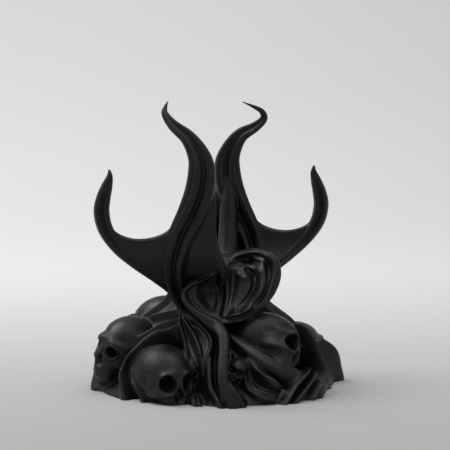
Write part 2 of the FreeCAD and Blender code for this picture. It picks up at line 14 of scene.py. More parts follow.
import bpy
import mathutils
import numpy as np
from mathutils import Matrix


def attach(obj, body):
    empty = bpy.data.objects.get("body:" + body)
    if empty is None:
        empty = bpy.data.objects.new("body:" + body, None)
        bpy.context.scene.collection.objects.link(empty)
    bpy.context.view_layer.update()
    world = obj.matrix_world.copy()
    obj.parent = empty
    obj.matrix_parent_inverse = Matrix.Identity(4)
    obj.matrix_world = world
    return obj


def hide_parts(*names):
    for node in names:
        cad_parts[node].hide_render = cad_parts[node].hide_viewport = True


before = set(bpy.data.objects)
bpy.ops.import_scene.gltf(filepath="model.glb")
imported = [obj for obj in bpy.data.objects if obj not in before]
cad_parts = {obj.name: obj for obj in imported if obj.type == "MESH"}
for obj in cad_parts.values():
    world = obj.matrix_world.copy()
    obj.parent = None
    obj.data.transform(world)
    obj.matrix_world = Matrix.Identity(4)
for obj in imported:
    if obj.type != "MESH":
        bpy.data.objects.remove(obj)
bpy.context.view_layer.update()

# %% [markdown]
# ## How a form is made
#
# Carved shapes like these could be sculpted with brushes. Here each one is a sheet of
# points instead, rows of rings worked out with numpy as whole arrays, because a formula
# gives the same shape each time and one number changes it. Lengths are in millimetres.
# The first helpers are a smooth curve through a few chosen points, and two blends.

# %% Curves and blends
MM = 0.001


def smooth(points, count):
    """Curve through all points: each span blends its four nearest with cubic weights."""
    points = np.asarray(points, float)
    spans = len(points) - 1
    at = np.linspace(0, spans, count)
    first = np.minimum(at.astype(int), spans - 1)
    t = (at - first)[:, None]
    a, b = points[np.maximum(first - 1, 0)], points[first]
    c, d = points[first + 1], points[np.minimum(first + 2, spans)]
    square, cube = t * t, t * t * t
    return 0.5 * (2 * b + (c - a) * t + (2 * a - 5 * b + 4 * c - d) * square
                  + (3 * b - a - 3 * c + d) * cube)


def ease(share):
    """Rises smoothly from 0 to 1: three times the square less twice the cube."""
    share = np.clip(share, 0, 1)
    return share * share * (3 - 2 * share)


def bell(offset, width):
    """A soft hump: e to the power of minus the squared ratio of offset to width."""
    return np.exp(-(offset / width) ** 2)


def unit(vectors):
    """Each vector divided by its own length."""
    return vectors / np.maximum(np.linalg.norm(vectors, axis=-1, keepdims=True), 1e-9)


print("eased halfway", ease(0.5), "and a hump one width out", round(float(bell(1, 1)), 3))

# %% [markdown]
# Rings run once round a form, and a single point closes each end, so the form is
# watertight. Closed forms may overlap, which is how parts that grow into each other are
# built here. The same form turned half round the upright axis serves the back, which is
# like the front but for two skulls, the tip of a tendril and one fold.

# %% Closed forms
def closed_form(rings, start=None, end=None):
    """Corners, four-sided faces and end fans of a form through rings of points."""
    rows, columns = rings.shape[:2]
    start = rings[0].mean(axis=0) if start is None else np.asarray(start, float)
    end = rings[-1].mean(axis=0) if end is None else np.asarray(end, float)
    corners = np.vstack([rings.reshape(-1, 3), start[None], end[None]])
    index = np.arange(rows * columns).reshape(rows, columns)
    after = np.roll(index, -1, axis=1)
    quads = np.stack([index[:-1], after[:-1], after[1:], index[1:]], axis=-1).reshape(-1, 4)
    pole = np.full(columns, rows * columns)
    fans = np.vstack([
        np.stack([pole, after[0], index[0]], axis=-1),
        np.stack([pole + 1, index[-1], after[-1]], axis=-1),
    ])
    return corners, quads, fans


def half_turn(form, move=(0, 0, 0)):
    """The same form on the other side of the upright axis: x and y change sign."""
    corners, quads, fans = form
    return corners * [-1, -1, 1] + np.array(move, float), quads, fans


def mesh_of(name, forms):
    """One mesh from several forms, their corners counted on from one to the next."""
    corners = np.vstack([form[0] for form in forms])
    starts = np.cumsum([0] + [len(form[0]) for form in forms[:-1]])
    quads = np.vstack([form[1] + at for form, at in zip(forms, starts)])
    fans = np.vstack([form[2] + at for form, at in zip(forms, starts)])
    mesh = bpy.data.meshes.new(name)
    mesh.vertices.add(len(corners))
    mesh.vertices.foreach_set("co", (corners * MM).astype(np.float32).ravel())
    mesh.loops.add(quads.size + fans.size)
    mesh.loops.foreach_set("vertex_index", np.concatenate([quads.ravel(), fans.ravel()]))
    mesh.polygons.add(len(quads) + len(fans))
    begin = np.concatenate([
        4 * np.arange(len(quads)), quads.size + 3 * np.arange(len(fans)),
    ])
    mesh.polygons.foreach_set("loop_start", begin)
    mesh.update(calc_edges=True)
    mesh.validate()
    return mesh


print("one millimetre is", MM, "of a scene's unit")

# %% [markdown]
# ## The heap
#
# On the real stand the drapery covers an oval hill that narrows into the column. A
# displaced cylinder would do for its body, and so would a lathed profile made oval. Rings
# are used, because folds and hollows can then be drawn on them by azimuth and height. The
# azimuth is 0 in front and grows to the right, in degrees.

# %% The hill's outline
HEAP_HALF_WIDTH = 60.5
HEAP_HALF_DEPTH = 56.0
HEAP_HEIGHT = 43.0
COLUMN_HALF_WIDTH = 17.0
COLUMN_HALF_DEPTH = 14.0
SADDLE_HEIGHT = 63.0
SADDLE_CROWN = 0.3
FOLD_RELIEF = 4.4
# Shares of the height, the half width and the half depth, up to where the column begins
HILL = np.array([
    (0.00, 1.00, 1.00), (0.19, 1.00, 0.95), (0.37, 0.96, 0.87), (0.56, 0.85, 0.735),
    (0.72, 0.69, 0.586), (0.86, 0.52, 0.437), (1.00, 0.38, 0.334),
]) * [HEAP_HEIGHT, HEAP_HALF_WIDTH, HEAP_HALF_DEPTH]
NECK = HEAP_HEIGHT + 0.4 * (SADDLE_HEIGHT - HEAP_HEIGHT)
HEAP_OUTLINE = np.vstack([
    HILL, (NECK, COLUMN_HALF_WIDTH + 2, COLUMN_HALF_DEPTH + 1.5),
    (SADDLE_HEIGHT, COLUMN_HALF_WIDTH, COLUMN_HALF_DEPTH),
])
HEAP_FINE = smooth(HEAP_OUTLINE, 240)
print("outline points", len(HEAP_FINE), "up to", HEAP_FINE[-1, 0])


def heap_point(azimuth, height):
    """Oval ring at a height: half width times sine of azimuth, half depth times cosine."""
    turn = np.radians(azimuth)
    wide = np.interp(height, HEAP_FINE[:, 0], HEAP_FINE[:, 1])
    deep = np.interp(height, HEAP_FINE[:, 0], HEAP_FINE[:, 2])
    return np.stack([wide * np.sin(turn), -deep * np.cos(turn), height + 0 * turn], axis=-1)


print("front of the foot", heap_point(0.0, 0.0))


# %% [markdown]
# ## The drapery
#
# The cloth falls in folds that gather at the column, run between the skulls and spread at
# the foot. A cloth simulation would fold it anywhere, so each fold is drawn as a curve on
# the hill. A ridge's height depends only on the distance to its curve. Where two ridges
# meet, the higher one wins softly, the way cloth runs from one fold into the next.

# %% Where the folds, troughs and hollows are
# Each fold: half width in mm, power, then azimuth, height, share of the width and lift
FOLDS = [
    (2.4, 2.6, [(-8.5, 37.2, 0.7, -1.5), (1.5, 33, 0.9, 0), (4.4, 29, 1, 0.3), (4, 21.8, 1, 0),
                (3.6, 14.5, 1, 0), (5.2, 8.4, 0.9, -0.6), (7.4, 4, 0.8, -1.4),
                (10, -3, 0.8, -1.6)]),
    (1.3, 1.4, [(-33.6, 38, 0.7, -0.6), (-22.4, 31.5, 1, 0), (-17.2, 26.6, 1, 0.2),
                (-14.2, 22.3, 0.8, -0.4), (-12.4, 19.5, 0.5, -2)]),
    (3.8, 4.0, [(-36, 38.6, 0.5, -1.2), (-24, 38.2, 0.9, 0.4), (-13, 36.8, 1, 0.6),
                (-4.5, 34.8, 0.85, 0.2), (0.5, 31.6, 0.5, -1)]),
    (1.2, 1.5, [(-29, 37.2, 0.6, -0.6), (-16.4, 32.2, 1, 0.2), (-10.1, 27.5, 1.1, 0.3),
                (-7, 22.7, 1, 0.2), (-6.2, 17, 0.6, -1.5)]),
    (4.7, 6.0, [(-22, 36.2, 0.5, -2.6), (-12.5, 32.6, 0.85, -2.3), (-7.2, 29, 1.0, -2.3),
                (-5.2, 25, 0.75, -2.2), (-5.5, 20.8, 0.35, -2.2), (-6.1, 17, 0.2, -2.8)]),
    (1.2, 1.5, [(-18.3, 35.9, 0.8, -0.4), (-9.1, 33.7, 1, 0.1), (-3.5, 30.4, 1, 0.1),
                (-1.6, 27.1, 1, 0), (-2.3, 23.8, 1, 0), (-4.7, 20.4, 0.8, -0.2),
                (-6.0, 16.5, 0.6, -1.5)]),
    (1.7, 3.4, [(-2.4, 24, 0.7, -0.8), (-2.5, 17.6, 1, -0.2), (-2.3, 13.4, 1, 0),
                (-1.6, 8.7, 1, 0), (1.2, 4.9, 1.1, 0.1), (5, -3, 1.2, 0)]),
    (1.4, 2.0, [(-14, 9, 0.6, -2.6), (-11.6, 5.8, 1, -1.8), (-10.2, 1.6, 1.2, -1.8),
                (-9, -3, 1.2, -2)]),
    (1.2, 2.0, [(-9.2, 8.6, 0.6, -2.4), (-8, 4.6, 1, -1.6), (-6.6, 0.6, 1.2, -1.6),
                (-6, -3, 1.2, -1.8)]),
    (4.2, 4.4, [(10, 32, 0.4, -2.4), (13.6, 28.8, 0.5, -1.8), (19, 24.8, 0.8, -1.7),
                (26.5, 20, 1.0, -1.6), (34, 16, 1.15, -1.5), (43, 12.6, 1.2, -1.4)]),
    (2.4, 2.6, [(16.6, 22, 0.25, -1.2), (20.6, 17.3, 0.6, 0.8), (23.6, 13.5, 0.95, 1.3),
                (26.5, 10.4, 1.15, 1.4), (28.6, 8.1, 0.9, 0.2), (30, 6.6, 0.5, -3)]),
    (1.3, 1.8, [(15.4, 15.5, 0.6, -2.2), (15.2, 10.6, 1, -1), (17, 7.1, 1, -0.8),
                (21.4, 3.8, 1, -0.8), (27, 2.6, 0.8, -1.4)]),
    (1.3, 1.8, [(17.4, 12.6, 0.5, -2.4), (18.9, 8.8, 1, -1.4), (22.5, 6.2, 1, -1.2),
                (28, 4.6, 0.8, -1.6)]),
    (1.3, 1.5, [(54.5, 16.5, 0.5, 2), (51.5, 15.2, 0.9, 3), (46, 12.4, 1, 2.6),
                (39.3, 8.6, 1, 1.4), (33.4, 2.3, 1.1, 0.6), (29.5, -3, 1.2, 0.6)]),
    (1.4, 1.6, [(55.5, 16, 0.6, 2.4), (53.6, 12.6, 0.9, 3), (49, 9.4, 1, 2.4),
                (42.8, 5.4, 1.1, 1.2), (35.5, -0.5, 1.1, 0.6), (33, -3, 1.2, 0.6)]),
    (1.6, 1.6, [(56.5, 9.5, 0.6, 0.6), (54, 6, 1, 1.4), (49.2, 1.8, 1, 0.2), (45, -3, 1.1, -0.4)]),
    (1.5, 1.5, [(60, 33, 0.6, -2.0), (62.4, 28.8, 0.9, 7.0), (61.4, 24.3, 1, 9.0),
                (61.4, 19.6, 1, 8.6), (60.8, 15, 1, 6.6), (60.3, 11, 1, 3.8),
                (58.0, 6.2, 1, 1.6), (55.1, 2.2, 1, 0.2), (50, -3, 1, -0.6)]),
    (1.9, 1.3, [(-28, 34.3, 0.6, -0.6), (-35, 32.6, 0.8, 0), (-41, 31, 0.9, 0.4),
                (-44.2, 27.6, 1, 0.8), (-45.8, 24, 1, 1.2), (-48.1, 19.8, 1, 1.4),
                (-48.8, 15.7, 1, 1.4), (-48.5, 11.1, 1, 1.2), (-47, 7.5, 1, 0.6),
                (-45.4, 3, 1, -1.2), (-44, -3, 1, -2.4)]),
    (1.6, 1.3, [(-30.9, 25.3, 0.7, -2.5), (-36.2, 24, 0.9, -1.2), (-39.4, 21.6, 1, -0.2),
                (-41.4, 17.8, 1, 0.4), (-41.8, 14.2, 1, 0.6), (-40.9, 10.4, 1, 0.6),
                (-38.2, 7.3, 1, 0.2), (-35.4, 3.2, 1, -1.2), (-33, -3, 1, -2.4)]),
    (1.8, 1.3, [(-31.9, 36.6, 0.6, -1), (-43, 33.6, 1, -0.4), (-48.3, 28.8, 1, -0.2),
                (-52.8, 24.5, 0.8, -1), (-55, 20, 0.5, -2.5)]),
    (1.9, 1.3, [(-35.3, 39.5, 0.7, -0.4), (-50.1, 37.6, 1, 0), (-61.2, 35.8, 1, 0),
                (-71, 34.4, 0.5, -2)]),
    (3.0, 2.0, [(78, 40, 0.5, -1), (84, 34, 0.8, -0.4), (84, 27, 0.6, -1.5)]),
    (4.6, 3.4, [(-76, 20, 0.6, -1), (-77, 13, 1, 0.2), (-76, 6, 1, -0.4), (-74, -3, 1, -1.6)]),
    (1.2, 1.6, [(-10, 62, 1, -1.4), (-14, 55, 1, -1.2), (-22, 47, 0.8, -2)]),
    (1.2, 1.6, [(24, 62, 1, -1.4), (22, 54, 1, -1.2), (16, 46, 0.8, -2)]),
    (1.4, 1.6, [(58, 62, 1, -1.2), (62, 52, 1.2, -0.8), (66, 42, 1.2, -0.6), (67, 34, 1, -0.6)]),
    (1.4, 1.6, [(104, 62, 1, -1.2), (100, 50, 1.2, -0.8), (96, 40, 1.2, -0.4), (88, 30, 1, -1)]),
]
# The one fold with no counterpart on the other side
CORNER_FOLD = (6.0, 3.6, [
    (97, 22, 0.5, 0), (100, 16, 0.9, 2.8), (102, 9, 1, 3.2), (103, -3, 1, 2.2),
])
# Troughs between folds: half width and depth, then azimuth, height and share
TROUGHS = [
    (2.7, 6.2, [(-27, 30, 0.6), (-35, 28.5, 1), (-40.5, 26.2, 1), (-43.5, 22, 1), (-45.2, 17, 1),
                (-45, 12, 1), (-43, 7, 1), (-40.5, 2, 1), (-38, -3, 1)]),
    (1.0, 2.4, [(10, 28.6, 0.6), (13.8, 24.2, 1), (22.5, 16.2, 1.2), (34.6, 8.4, 1.2)]),
    (1.5, 1.6, [(1.2, 33, 0.6), (1.6, 27, 1), (0.8, 20, 1), (0.8, 12, 1), (3.4, 5, 1.1),
                (8, -3, 1.1)]),
    (1.2, 2.0, [(53, 14, 0.5), (48, 10.6, 1), (41.5, 6.6, 1), (35, 1.2, 0.9), (31, -3, 0.8)]),
    (1.4, 2.0, [(8.2, 32, 0.6), (8.4, 24, 1), (7.6, 16, 1), (9, 9, 1), (13, 2, 1)]),
    (2.2, 3.4, [(57, 31, 0.7), (57.4, 27, 1), (56.4, 22, 1), (56.6, 17, 1), (56.6, 12.4, 0.9),
                (54.6, 9, 0.7)]),
    (2.6, 3.0, [(66, 33, 0.7), (67, 27, 1), (67, 20, 1), (66.6, 13, 1), (64, 7, 1), (60, 1, 1)]),
]
# Hollows: azimuth, height, spread and depth
HOLLOWS = [
    (-19, 8, 13, 9), (-64, 14, 11, 7.5), (62, 20, 11, 5), (13, 13, 7, 5), (-24, 26, 7, 5),
    (14, 42, 13, 5), (22, 11.5, 4.5, 2), (50, 20, 8, 4), (76, 12, 11, 9), (-9, 12, 6, 3.5),
    (80, 27, 9, 6), (-31, 28, 6.5, 10), (-22, 27, 5, 3), (40, 55, 7, 6), (-5.5, 3, 4, 3),
    (52, 19, 5, 3.5), (-8, 17, 4, 2.5),
]
print("folds", len(FOLDS) + 1, "troughs", len(TROUGHS), "hollows", len(HOLLOWS))

# %% [markdown]
# The distance to a curve could be taken to its points alone, but then a crest would be
# notched like a file. So it is taken to the straight line that touches the curve at its
# nearest point. Points of the hill that are far from a curve are skipped, which keeps the
# work short.

# %% The height of a ridge
# Radius of a crest's rounded top, in mm
BLUNT = 0.3
LINE_POINTS = 64
LEAST_HALF_WIDTH = 0.4


def crest_over(points, line, half, crest, power):
    """Crest height times e to minus (blunted distance to the line over half width) ^ power."""
    flat = points.reshape(-1, 3)
    height = np.zeros(len(flat))
    reach = 2.6 * half.max() + 1
    inside = np.all((flat > line.min(axis=0) - reach) & (flat < line.max(axis=0) + reach),
                    axis=1)
    near = flat[inside]
    if len(near):
        square = (near ** 2).sum(1)[:, None] + (line ** 2).sum(1)[None] - 2 * near @ line.T
        nearest = square.argmin(axis=1)
        gap = near - line[nearest]
        step = np.linalg.norm(line[-1] - line[0]) / len(line)
        along = (gap * unit(np.gradient(line, axis=0))[nearest]).sum(1).clip(-step, step)
        away = np.maximum((gap ** 2).sum(1) - along ** 2, 0)
        blunt = np.sqrt(away + BLUNT * BLUNT) - BLUNT
        height[inside] = crest[nearest] * np.exp(-(blunt / half[nearest]) ** power)
    return height.reshape(points.shape[:-1])


def fold_on_heap(skin, fold):
    """The field of one fold, its crest as high as the relief and its own lift together."""
    half, power, route = fold
    run = smooth(route, LINE_POINTS)
    line = heap_point(run[:, 0], run[:, 1])
    widths = np.maximum(half * run[:, 2], LEAST_HALF_WIDTH)
    return crest_over(skin, line, widths, FOLD_RELIEF + run[:, 3], power)


def trough_on_heap(skin, trough):
    """The depth of one trough, widest where its share is largest."""
    half, depth, route = trough
    run = smooth(route, LINE_POINTS)
    line = heap_point(run[:, 0], run[:, 1])
    return crest_over(skin, line, half * run[:, 2], depth * run[:, 2] ** 0.5, 2.0)


print("a crest is rounded over", BLUNT, "mm, and a fold is never under", LEAST_HALF_WIDTH)

# %% [markdown]
# The hill's body lies a little inside the outermost folds, so that they stand proud of
# it, and it sinks further where a skull looks out. It sinks less at the foot and on the
# column. The saddle on top, which carries the load, stays plain. Rings start below the
# floor, and what is under the floor is flattened to it later.

# %% The draped hill
HEAP_COLUMNS = 1200
BEHIND = HEAP_COLUMNS // 2
HEAP_ROWS = np.concatenate([np.linspace(-4, 52, 270), np.linspace(52.5, 62.6, 34)])
# The power at which folds melt together, where a higher one keeps them further apart
MELT = 5
# Where the relief fades: its share, the height where that starts and the height it takes
FOOT_FADE = (0.4, 8, 8)
COLUMN_FADE = (0.6, 36, 14)
SADDLE_FADE = (1, 56.5, 5)
# The saddle's edge is drawn in, in the same three numbers
SADDLE_EDGE = (0.30, 55, 8)


def rising(level, values):
    """A share times the eased way from a start height over a span."""
    share, start, span = values
    return share * ease((level - start) / span)


def heap_form():
    """Oval rings sunk by the relief, troughs and hollows, then raised along their normals."""
    turn, level = np.meshgrid(np.arange(HEAP_COLUMNS) * (360 / HEAP_COLUMNS), HEAP_ROWS)
    skin = heap_point(turn, level)
    raised = np.zeros(turn.shape)
    for fold in FOLDS:
        one = fold_on_heap(skin, fold)
        raised += one ** MELT + np.roll(one, BEHIND, axis=1) ** MELT
    raised += fold_on_heap(skin, CORNER_FOLD) ** MELT
    raised = raised ** (1 / MELT)
    share, start, span = FOOT_FADE
    sink = FOLD_RELIEF * (1 - share * ease((start - level) / span))
    sink *= 1 - rising(level, COLUMN_FADE)
    for trough in TROUGHS:
        one = trough_on_heap(skin, trough)
        sink += one + np.roll(one, BEHIND, axis=1)
    for angle, at, spread, depth in HOLLOWS:
        for side in (0, 180):
            middle = heap_point(np.float64(angle + side), np.float64(at))
            sink += depth * bell(np.linalg.norm(skin - middle, axis=-1), spread)
    along = np.roll(skin, -1, axis=1) - np.roll(skin, 1, axis=1)
    up = np.gradient(skin, axis=0)
    outward = unit(np.cross(along, up))
    relief = (raised - sink) * (1 - rising(level, SADDLE_FADE))
    points = skin + outward * relief[..., None]
    share, start, span = SADDLE_EDGE
    points[..., :2] *= (1 - share * ease((level - start) / span) ** 3)[..., None]
    points[..., 2] = np.minimum(points[..., 2], SADDLE_HEIGHT)
    return closed_form(points, (0, 0, HEAP_ROWS[0]), (0, 0, SADDLE_HEIGHT + SADDLE_CROWN))


heap = heap_form()
print("heap corners", len(heap[0]))

# %% [markdown]
# ## Skulls
#
# The skulls are half buried and all of one kind, three large and two small on each side.
# They could be cut out of spheres with booleans. Here a skull is a sphere of directions
# pushed out to where each one leaves an egg for the braincase or a narrower egg for the
# face, whichever is further, because the two eggs then melt together without a seam.

# %% Eggs and dips
def ray_out(ways, centre, reach):
    """Distance from the middle to an egg's skin: the larger root of a quadratic."""
    centre, reach = np.array(centre), np.array(reach)
    a = ((ways / reach) ** 2).sum(-1)
    b = (ways * centre / reach ** 2).sum(-1)
    c = ((centre / reach) ** 2).sum() - 1
    return (b + np.sqrt(np.maximum(b * b - a * c, 0))) / a


def dip(across, up, centre, half, power=4):
    """A flat-bottomed oval dip: e to minus the oval distance to a high power."""
    return np.exp(-(((across - centre[0]) / half[0]) ** 2
                    + ((up - centre[1]) / half[1]) ** 2) ** (power / 2))


def directions():
    """Unit vectors from polar and sideways angles, closer together on the face."""
    polar = np.linspace(2, 178, 190)
    polar = np.radians(polar + 9 * np.sin(2 * np.radians(polar)))
    even = np.linspace(-np.pi, np.pi, 260, endpoint=False)
    fall, turn = np.meshgrid(polar, even - 0.45 * np.sin(even) - np.pi / 2, indexing="ij")
    return np.stack([np.sin(fall) * np.cos(turn), np.sin(fall) * np.sin(turn), np.cos(fall)], -1)


WAYS = directions()
print("directions", WAYS.shape)

# %% [markdown]
# Brow, cheekbones, eye sockets, nose and teeth are humps and dips on top of the eggs. They
# are measured on a head of half width 1 that faces the front, across from its middle and
# up from its centre, and serve both halves of the face.

# %% The face
# Eggs of the braincase and the face: centre, then half width, depth and height
BRAINCASE = ((0, 0.15, 0), (1.0, 1.25, 0.98))
FACE = ((0, -0.42, -0.55), (0.64, 0.74, 1.05))
# Humps and dips: how much, across and its spread, up and its spread
HUMPS = [
    # Cheekbones, then the upper jaw beside the nose
    (0.16, 0.72, 0.18, -0.58, 0.12), (0.08, 0.38, 0.20, -0.62, 0.10),
    # Hollow cheeks, then hollow temples
    (-0.16, 0.62, 0.18, -1.02, 0.22), (-0.09, 0.92, 0.14, -0.16, 0.22),
    # Bridge of the nose
    (0.07, 0.00, 0.10, -0.30, 0.16),
]
# Heavier brows, for the skulls that have them
BONY_HUMPS = [(1.0, 0.46, 0.20, -0.02, 0.12), (-0.8, 0.60, 0.26, 0.20, 0.12)]
TOOTH = 0.13
EYE = (0.34, -0.28)
EYE_DEPTH = 0.56
NOSE_DEPTH = 0.30


def humps(x, z, rows):
    """Each row's amount times a hump across times a hump upwards, all added."""
    return sum(much * bell(x - across, wide) * bell(z - up, tall)
               for much, across, wide, up, tall in rows)


def skull_reach(socket, bony):
    """The further egg, softly chosen by a high power, plus humps less dips in front."""
    reach = (ray_out(WAYS, *BRAINCASE) ** 14 + ray_out(WAYS, *FACE) ** 14) ** (1 / 14)
    spot = WAYS * reach[..., None]
    x, y, z = np.abs(spot[..., 0]), spot[..., 1], spot[..., 2]
    front = ease(-y / 0.5)
    # The brow droops a little as it goes outwards
    relief = 0.08 * bell(z - 0.05 + 0.10 * x, 0.13) * bell(x - 0.36, 0.30)
    relief += humps(x, z, HUMPS) + bony * humps(x, z, BONY_HUMPS)
    row_of_teeth = bell(z + 1.16, 0.13) * bell(x, 0.42)
    relief += 0.10 * row_of_teeth * (1 - 0.5 * np.abs(np.sin(x * np.pi / TOOTH)) ** 0.5)
    relief -= 0.10 * bell(z + 1.17, 0.030) * bell(x, 0.46)
    around = np.hypot((x - EYE[0]) / socket[0], (z - EYE[1]) / socket[1])
    relief += 0.06 * bell(around - 1.25, 0.2)
    eye = dip(x, z, EYE, socket, 7)
    nose = dip(x, z, (0.0, -0.76), (0.15, 0.17)) + 0.7 * dip(x, z, (0.0, -0.60), (0.07, 0.14))
    return reach + front * (relief - EYE_DEPTH * eye - NOSE_DEPTH * np.minimum(nose, 1))


print("humps and dips", len(HUMPS), "and for a heavier brow", len(BONY_HUMPS))

# %% [markdown]
# Every skull looks another way. A head is tilted about its own depth axis, nodded about
# its sideways axis and then turned about the upright one, before it is moved to its place.

# %% Ten skulls
def turned(points, yaw, pitch, roll):
    """Points times three matrices of cosines and sines: roll, then pitch, then yaw."""
    cr, sr = math.cos(math.radians(roll)), math.sin(math.radians(roll))
    cp, sp = math.cos(math.radians(pitch)), math.sin(math.radians(pitch))
    cy, sy = math.cos(math.radians(yaw)), math.sin(math.radians(yaw))
    rolled = np.array([[cr, 0, sr], [0, 1, 0], [-sr, 0, cr]])
    pitched = np.array([[1, 0, 0], [0, cp, -sp], [0, sp, cp]])
    yawed = np.array([[cy, -sy, 0], [sy, cy, 0], [0, 0, 1]])
    return points @ (yawed @ pitched @ rolled).T


def skull_form(half_width, centre, yaw, pitch, roll, socket, bony=0.0):
    """Directions times their reach and the half width, turned and moved to a centre."""
    points = WAYS * (half_width * skull_reach(socket, bony))[..., None]
    points = turned(points, yaw, pitch, roll) + np.array(centre)
    return closed_form(points[:, ::-1])


LARGE = 14.0
# Each skull: half width, centre, turn, nod and tilt in degrees, eye socket, heavier brow
SKULLS = [
    skull_form(LARGE, (-23.1, -34.4, 11.4), 27, -8, 0, (0.205, 0.25)),
    skull_form(LARGE, (-39.6, -11.4, 21.4), -45, -13, 16, (0.15, 0.165), 0.04),
    skull_form(LARGE, (24.5, -20, 24), 69, -3, 44, (0.20, 0.23), 0.08),
    skull_form(5.0, (10.6, -40.2, 14.8), -6, -10, 24, (0.32, 0.34)),
    skull_form(4.8, (-11.4, -36.4, 15.4), 24, 4, -16, (0.28, 0.30)),
]
# The skulls behind are the same ones half a turn on, two of them set lower or higher
REAR_MOVES = [(0, 0, 0), (-1.3, -1, -6), (-1, 0, 2.6), (0, 0, 0), (0, 0, 0)]
print("skulls", len(SKULLS), "on each side, of", len(SKULLS[0][0]), "corners each")

# %% [markdown]
# ## Petals
#
# Each petal is a thin web between a tall tendril, which sways to one side and curls back
# at its tip, and a short one. A bevelled curve would give plain horns. A ring carried
# along a curve is used, because it can also be wider than it is thick and swell where
# the ridges are. Both petals stand on one gently curled sheet.

# %% The sheet that the petals stand on
TALL_HEIGHT = 136.0
SHORT_HEIGHT = 104.6
ROOT_DEPTH = 13.0
LEAN_OUT = 10.0
CURL_IN = 10.0
LEAN_START = 43.0
LEAN_SPAN = 26.0
CURL_START = 92.0


def petal_depth(height):
    """Distance in front of the axis: eases out from the root, then curls back in."""
    curl = np.maximum(height - CURL_START, 0) / (TALL_HEIGHT - CURL_START)
    return ROOT_DEPTH + LEAN_OUT * ease((height - LEAN_START) / LEAN_SPAN) - CURL_IN * curl * curl


print("depth at the root and the tip", petal_depth(LEAN_START), petal_depth(TALL_HEIGHT))

# %% Rings along a curve
def squared(value, power):
    """The value raised to a power under 1, its sign kept: makes an oval ring boxier."""
    return np.sign(value) * np.abs(value) ** power


def carry(path, width, thickness, ridges=None, columns=96, flat=1.0):
    """A ring carried along a path, square to it: oval, made larger where ridges says."""
    out = np.array([0.0, -1.0, 0.0])
    ahead = unit(np.gradient(path, axis=0))
    side = unit(np.cross(ahead, out))
    front = np.cross(side, ahead)
    turn = np.linspace(0, 2 * np.pi, columns, endpoint=False)[None]
    share = np.linspace(0, 1, len(path))[:, None]
    swell = 0.0 if ridges is None else ridges(turn, share)
    across = (width[:, None] / 2) * squared(np.cos(turn), flat) * (1 + swell)
    deep = (thickness[:, None] / 2) * squared(np.sin(turn), flat) * (1 + swell)
    rings = (path[:, None] + side[:, None] * across[..., None]
             + front[:, None] * deep[..., None])
    return closed_form(rings)


print("a quarter made boxier", squared(np.float64(0.25), 0.5))

# %% [markdown]
# Two ridges run up the tall tendril with a groove between them, and wander across it as
# they climb. The front and the rear tendril are the same up to the tip, which hooks
# further behind.

# %% The tall tendrils
def tall_ridges(turn, share):
    """Two humps less two troughs across the face, placed by how high up they are."""
    # Across runs from -1 to 1 over the front face and back again over the rear one
    across = np.cos(turn)
    left = -0.68 + 0.46 * ease(share / 0.8)
    right = 0.30 + 0.50 * ease(share / 0.7)
    middle = 0.5 * (left + right)
    face = np.abs(np.sin(turn))
    fade = 1 - ease((share - 0.72) / 0.2)
    return face * fade * (
        0.36 * bell(across - left, 0.14) + 0.24 * bell(across - right, 0.24)
        - 0.58 * bell(across - middle, 0.20) - 0.34 * bell(across - left + 0.27, 0.11)
    )


# Each row: across in mm, share of the full height, shares of the width and thickness
TALL = [
    (-12.5, 0.290, 0.70, 0.90), (-16.4, 0.345, 0.72, 1.00), (-18.2, 0.400, 0.76, 1.00),
    (-18.2, 0.460, 0.84, 1.00), (-15.6, 0.535, 0.92, 1.00), (-10.2, 0.620, 1.00, 0.96),
    (-6.8, 0.695, 1.00, 0.90), (-5.9, 0.770, 0.90, 0.80), (-7.8, 0.824, 0.72, 0.68),
    (-12.4, 0.876, 0.52, 0.54),
]
FRONT_TIP = [
    (-19.2, 0.918, 0.37, 0.42), (-23.1, 0.957, 0.24, 0.28), (-22.8, 0.982, 0.13, 0.15),
    (-21.6, 1.000, 0.04, 0.05),
]
REAR_TIP = [
    (-19.4, 0.907, 0.36, 0.42), (-23.6, 0.936, 0.27, 0.32), (-22.8, 0.962, 0.20, 0.24),
    (-19.0, 0.979, 0.13, 0.16), (-13.3, 0.997, 0.04, 0.05),
]
TALL_WIDTH = 14.0
TALL_THICKNESS = 10.0
SHORT_WIDTH = 7.4
SHORT_THICKNESS = 6.6
# The least width and thickness of a tip
POINTED = 0.9
TENDRIL_ROWS = 300


def tendril(run, full_height, width, thickness, ridges, columns):
    """A tendril through across, share of its height, and shares of width and thickness."""
    run = smooth(run, TENDRIL_ROWS)
    height = run[:, 1] * full_height
    path = np.stack([run[:, 0], -petal_depth(height), height], axis=1)
    return carry(path, np.maximum(width * run[:, 2], POINTED),
                 np.maximum(thickness * run[:, 3], POINTED), ridges, columns)


front_tall, rear_tall = [
    tendril(TALL + tip, TALL_HEIGHT, TALL_WIDTH, TALL_THICKNESS, tall_ridges, 144)
    for tip in (FRONT_TIP, REAR_TIP)
]
print("tall tendril up to", front_tall[0][:, 2].max())

# %% [markdown]
# A smooth flank leans on the inner side of each tall tendril and tapers to a point. The
# short tendril has a rolled outer edge and a groove beside it.

# %% The flank and the short tendril
# Each row: across, distance in front of the axis, height, width and thickness
FLANK = smooth([
    (-4.5, 7.0, 44, 12, 10), (-5.0, 10.0, 56, 11, 10), (-6.0, 14.0, 66, 9.6, 9),
    (-6.4, 17.4, 76, 9.0, 8.6), (-6.6, 19.0, 86, 8.0, 7.4), (-6.8, 20.6, 95, 5.6, 5),
    (-7.0, 22.0, 103, 2.0, 2.0),
], 120)
flank = carry(FLANK[:, :3] * [1, -1, 1], FLANK[:, 3], FLANK[:, 4])

